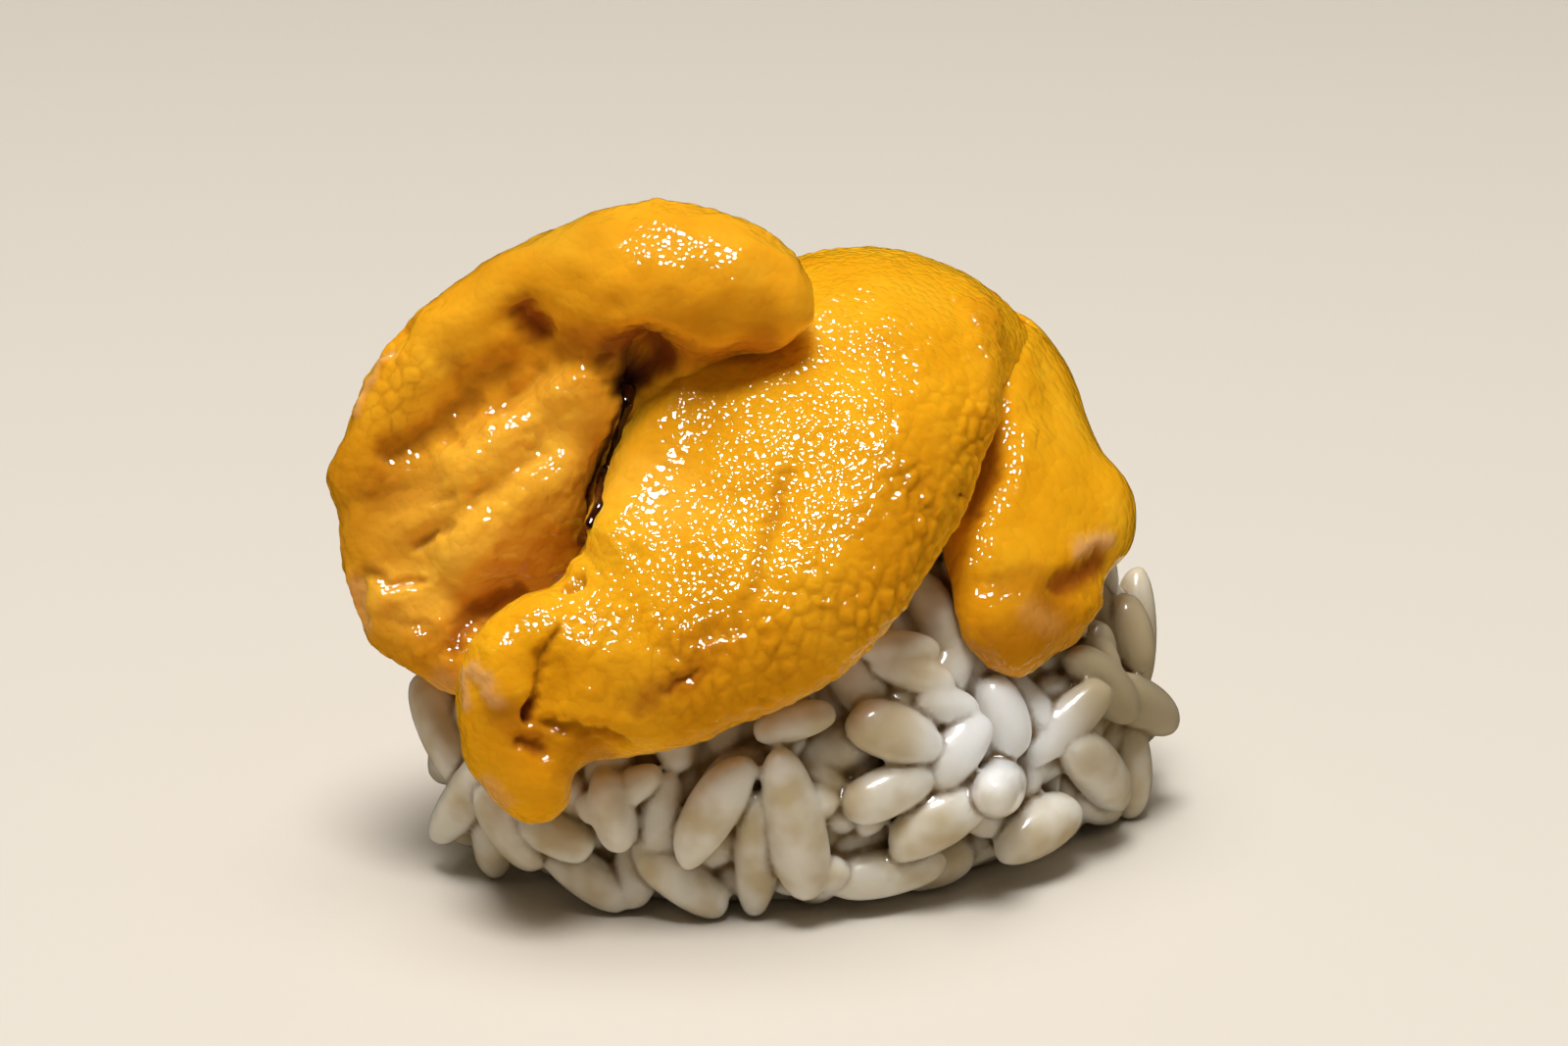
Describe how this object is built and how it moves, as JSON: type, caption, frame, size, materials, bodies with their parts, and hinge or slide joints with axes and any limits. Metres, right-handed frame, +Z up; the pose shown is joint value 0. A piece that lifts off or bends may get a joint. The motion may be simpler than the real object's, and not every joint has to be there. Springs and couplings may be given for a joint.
{
  "type": "sea urchin sushi",
  "caption": "Nigiri sushi: sea urchin tongues draped over a hand-pressed mound of cooked rice, served without a dish.",
  "frame": {"origin": "middle of the length and depth of the whole piece, at the level that the rice rests on", "axes": "+X along the piece's longest way, from the tongue with the curled rim to the far end; -Y towards the diner; +Z up"},
  "size_m": [0.0416, 0.032, 0.0325],
  "materials": {
    "cooked rice": "moist, slightly translucent cooked rice, satin",
    "sea urchin flesh": "wet orange-yellow sea urchin flesh, glossy, finely grained"
  },
  "bodies": {
    "root": {"rice": "cooked rice", "urchin_centre": "sea urchin flesh", "urchin_left": "sea urchin flesh", "urchin_right": "sea urchin flesh"}
  },
  "joints": []
}
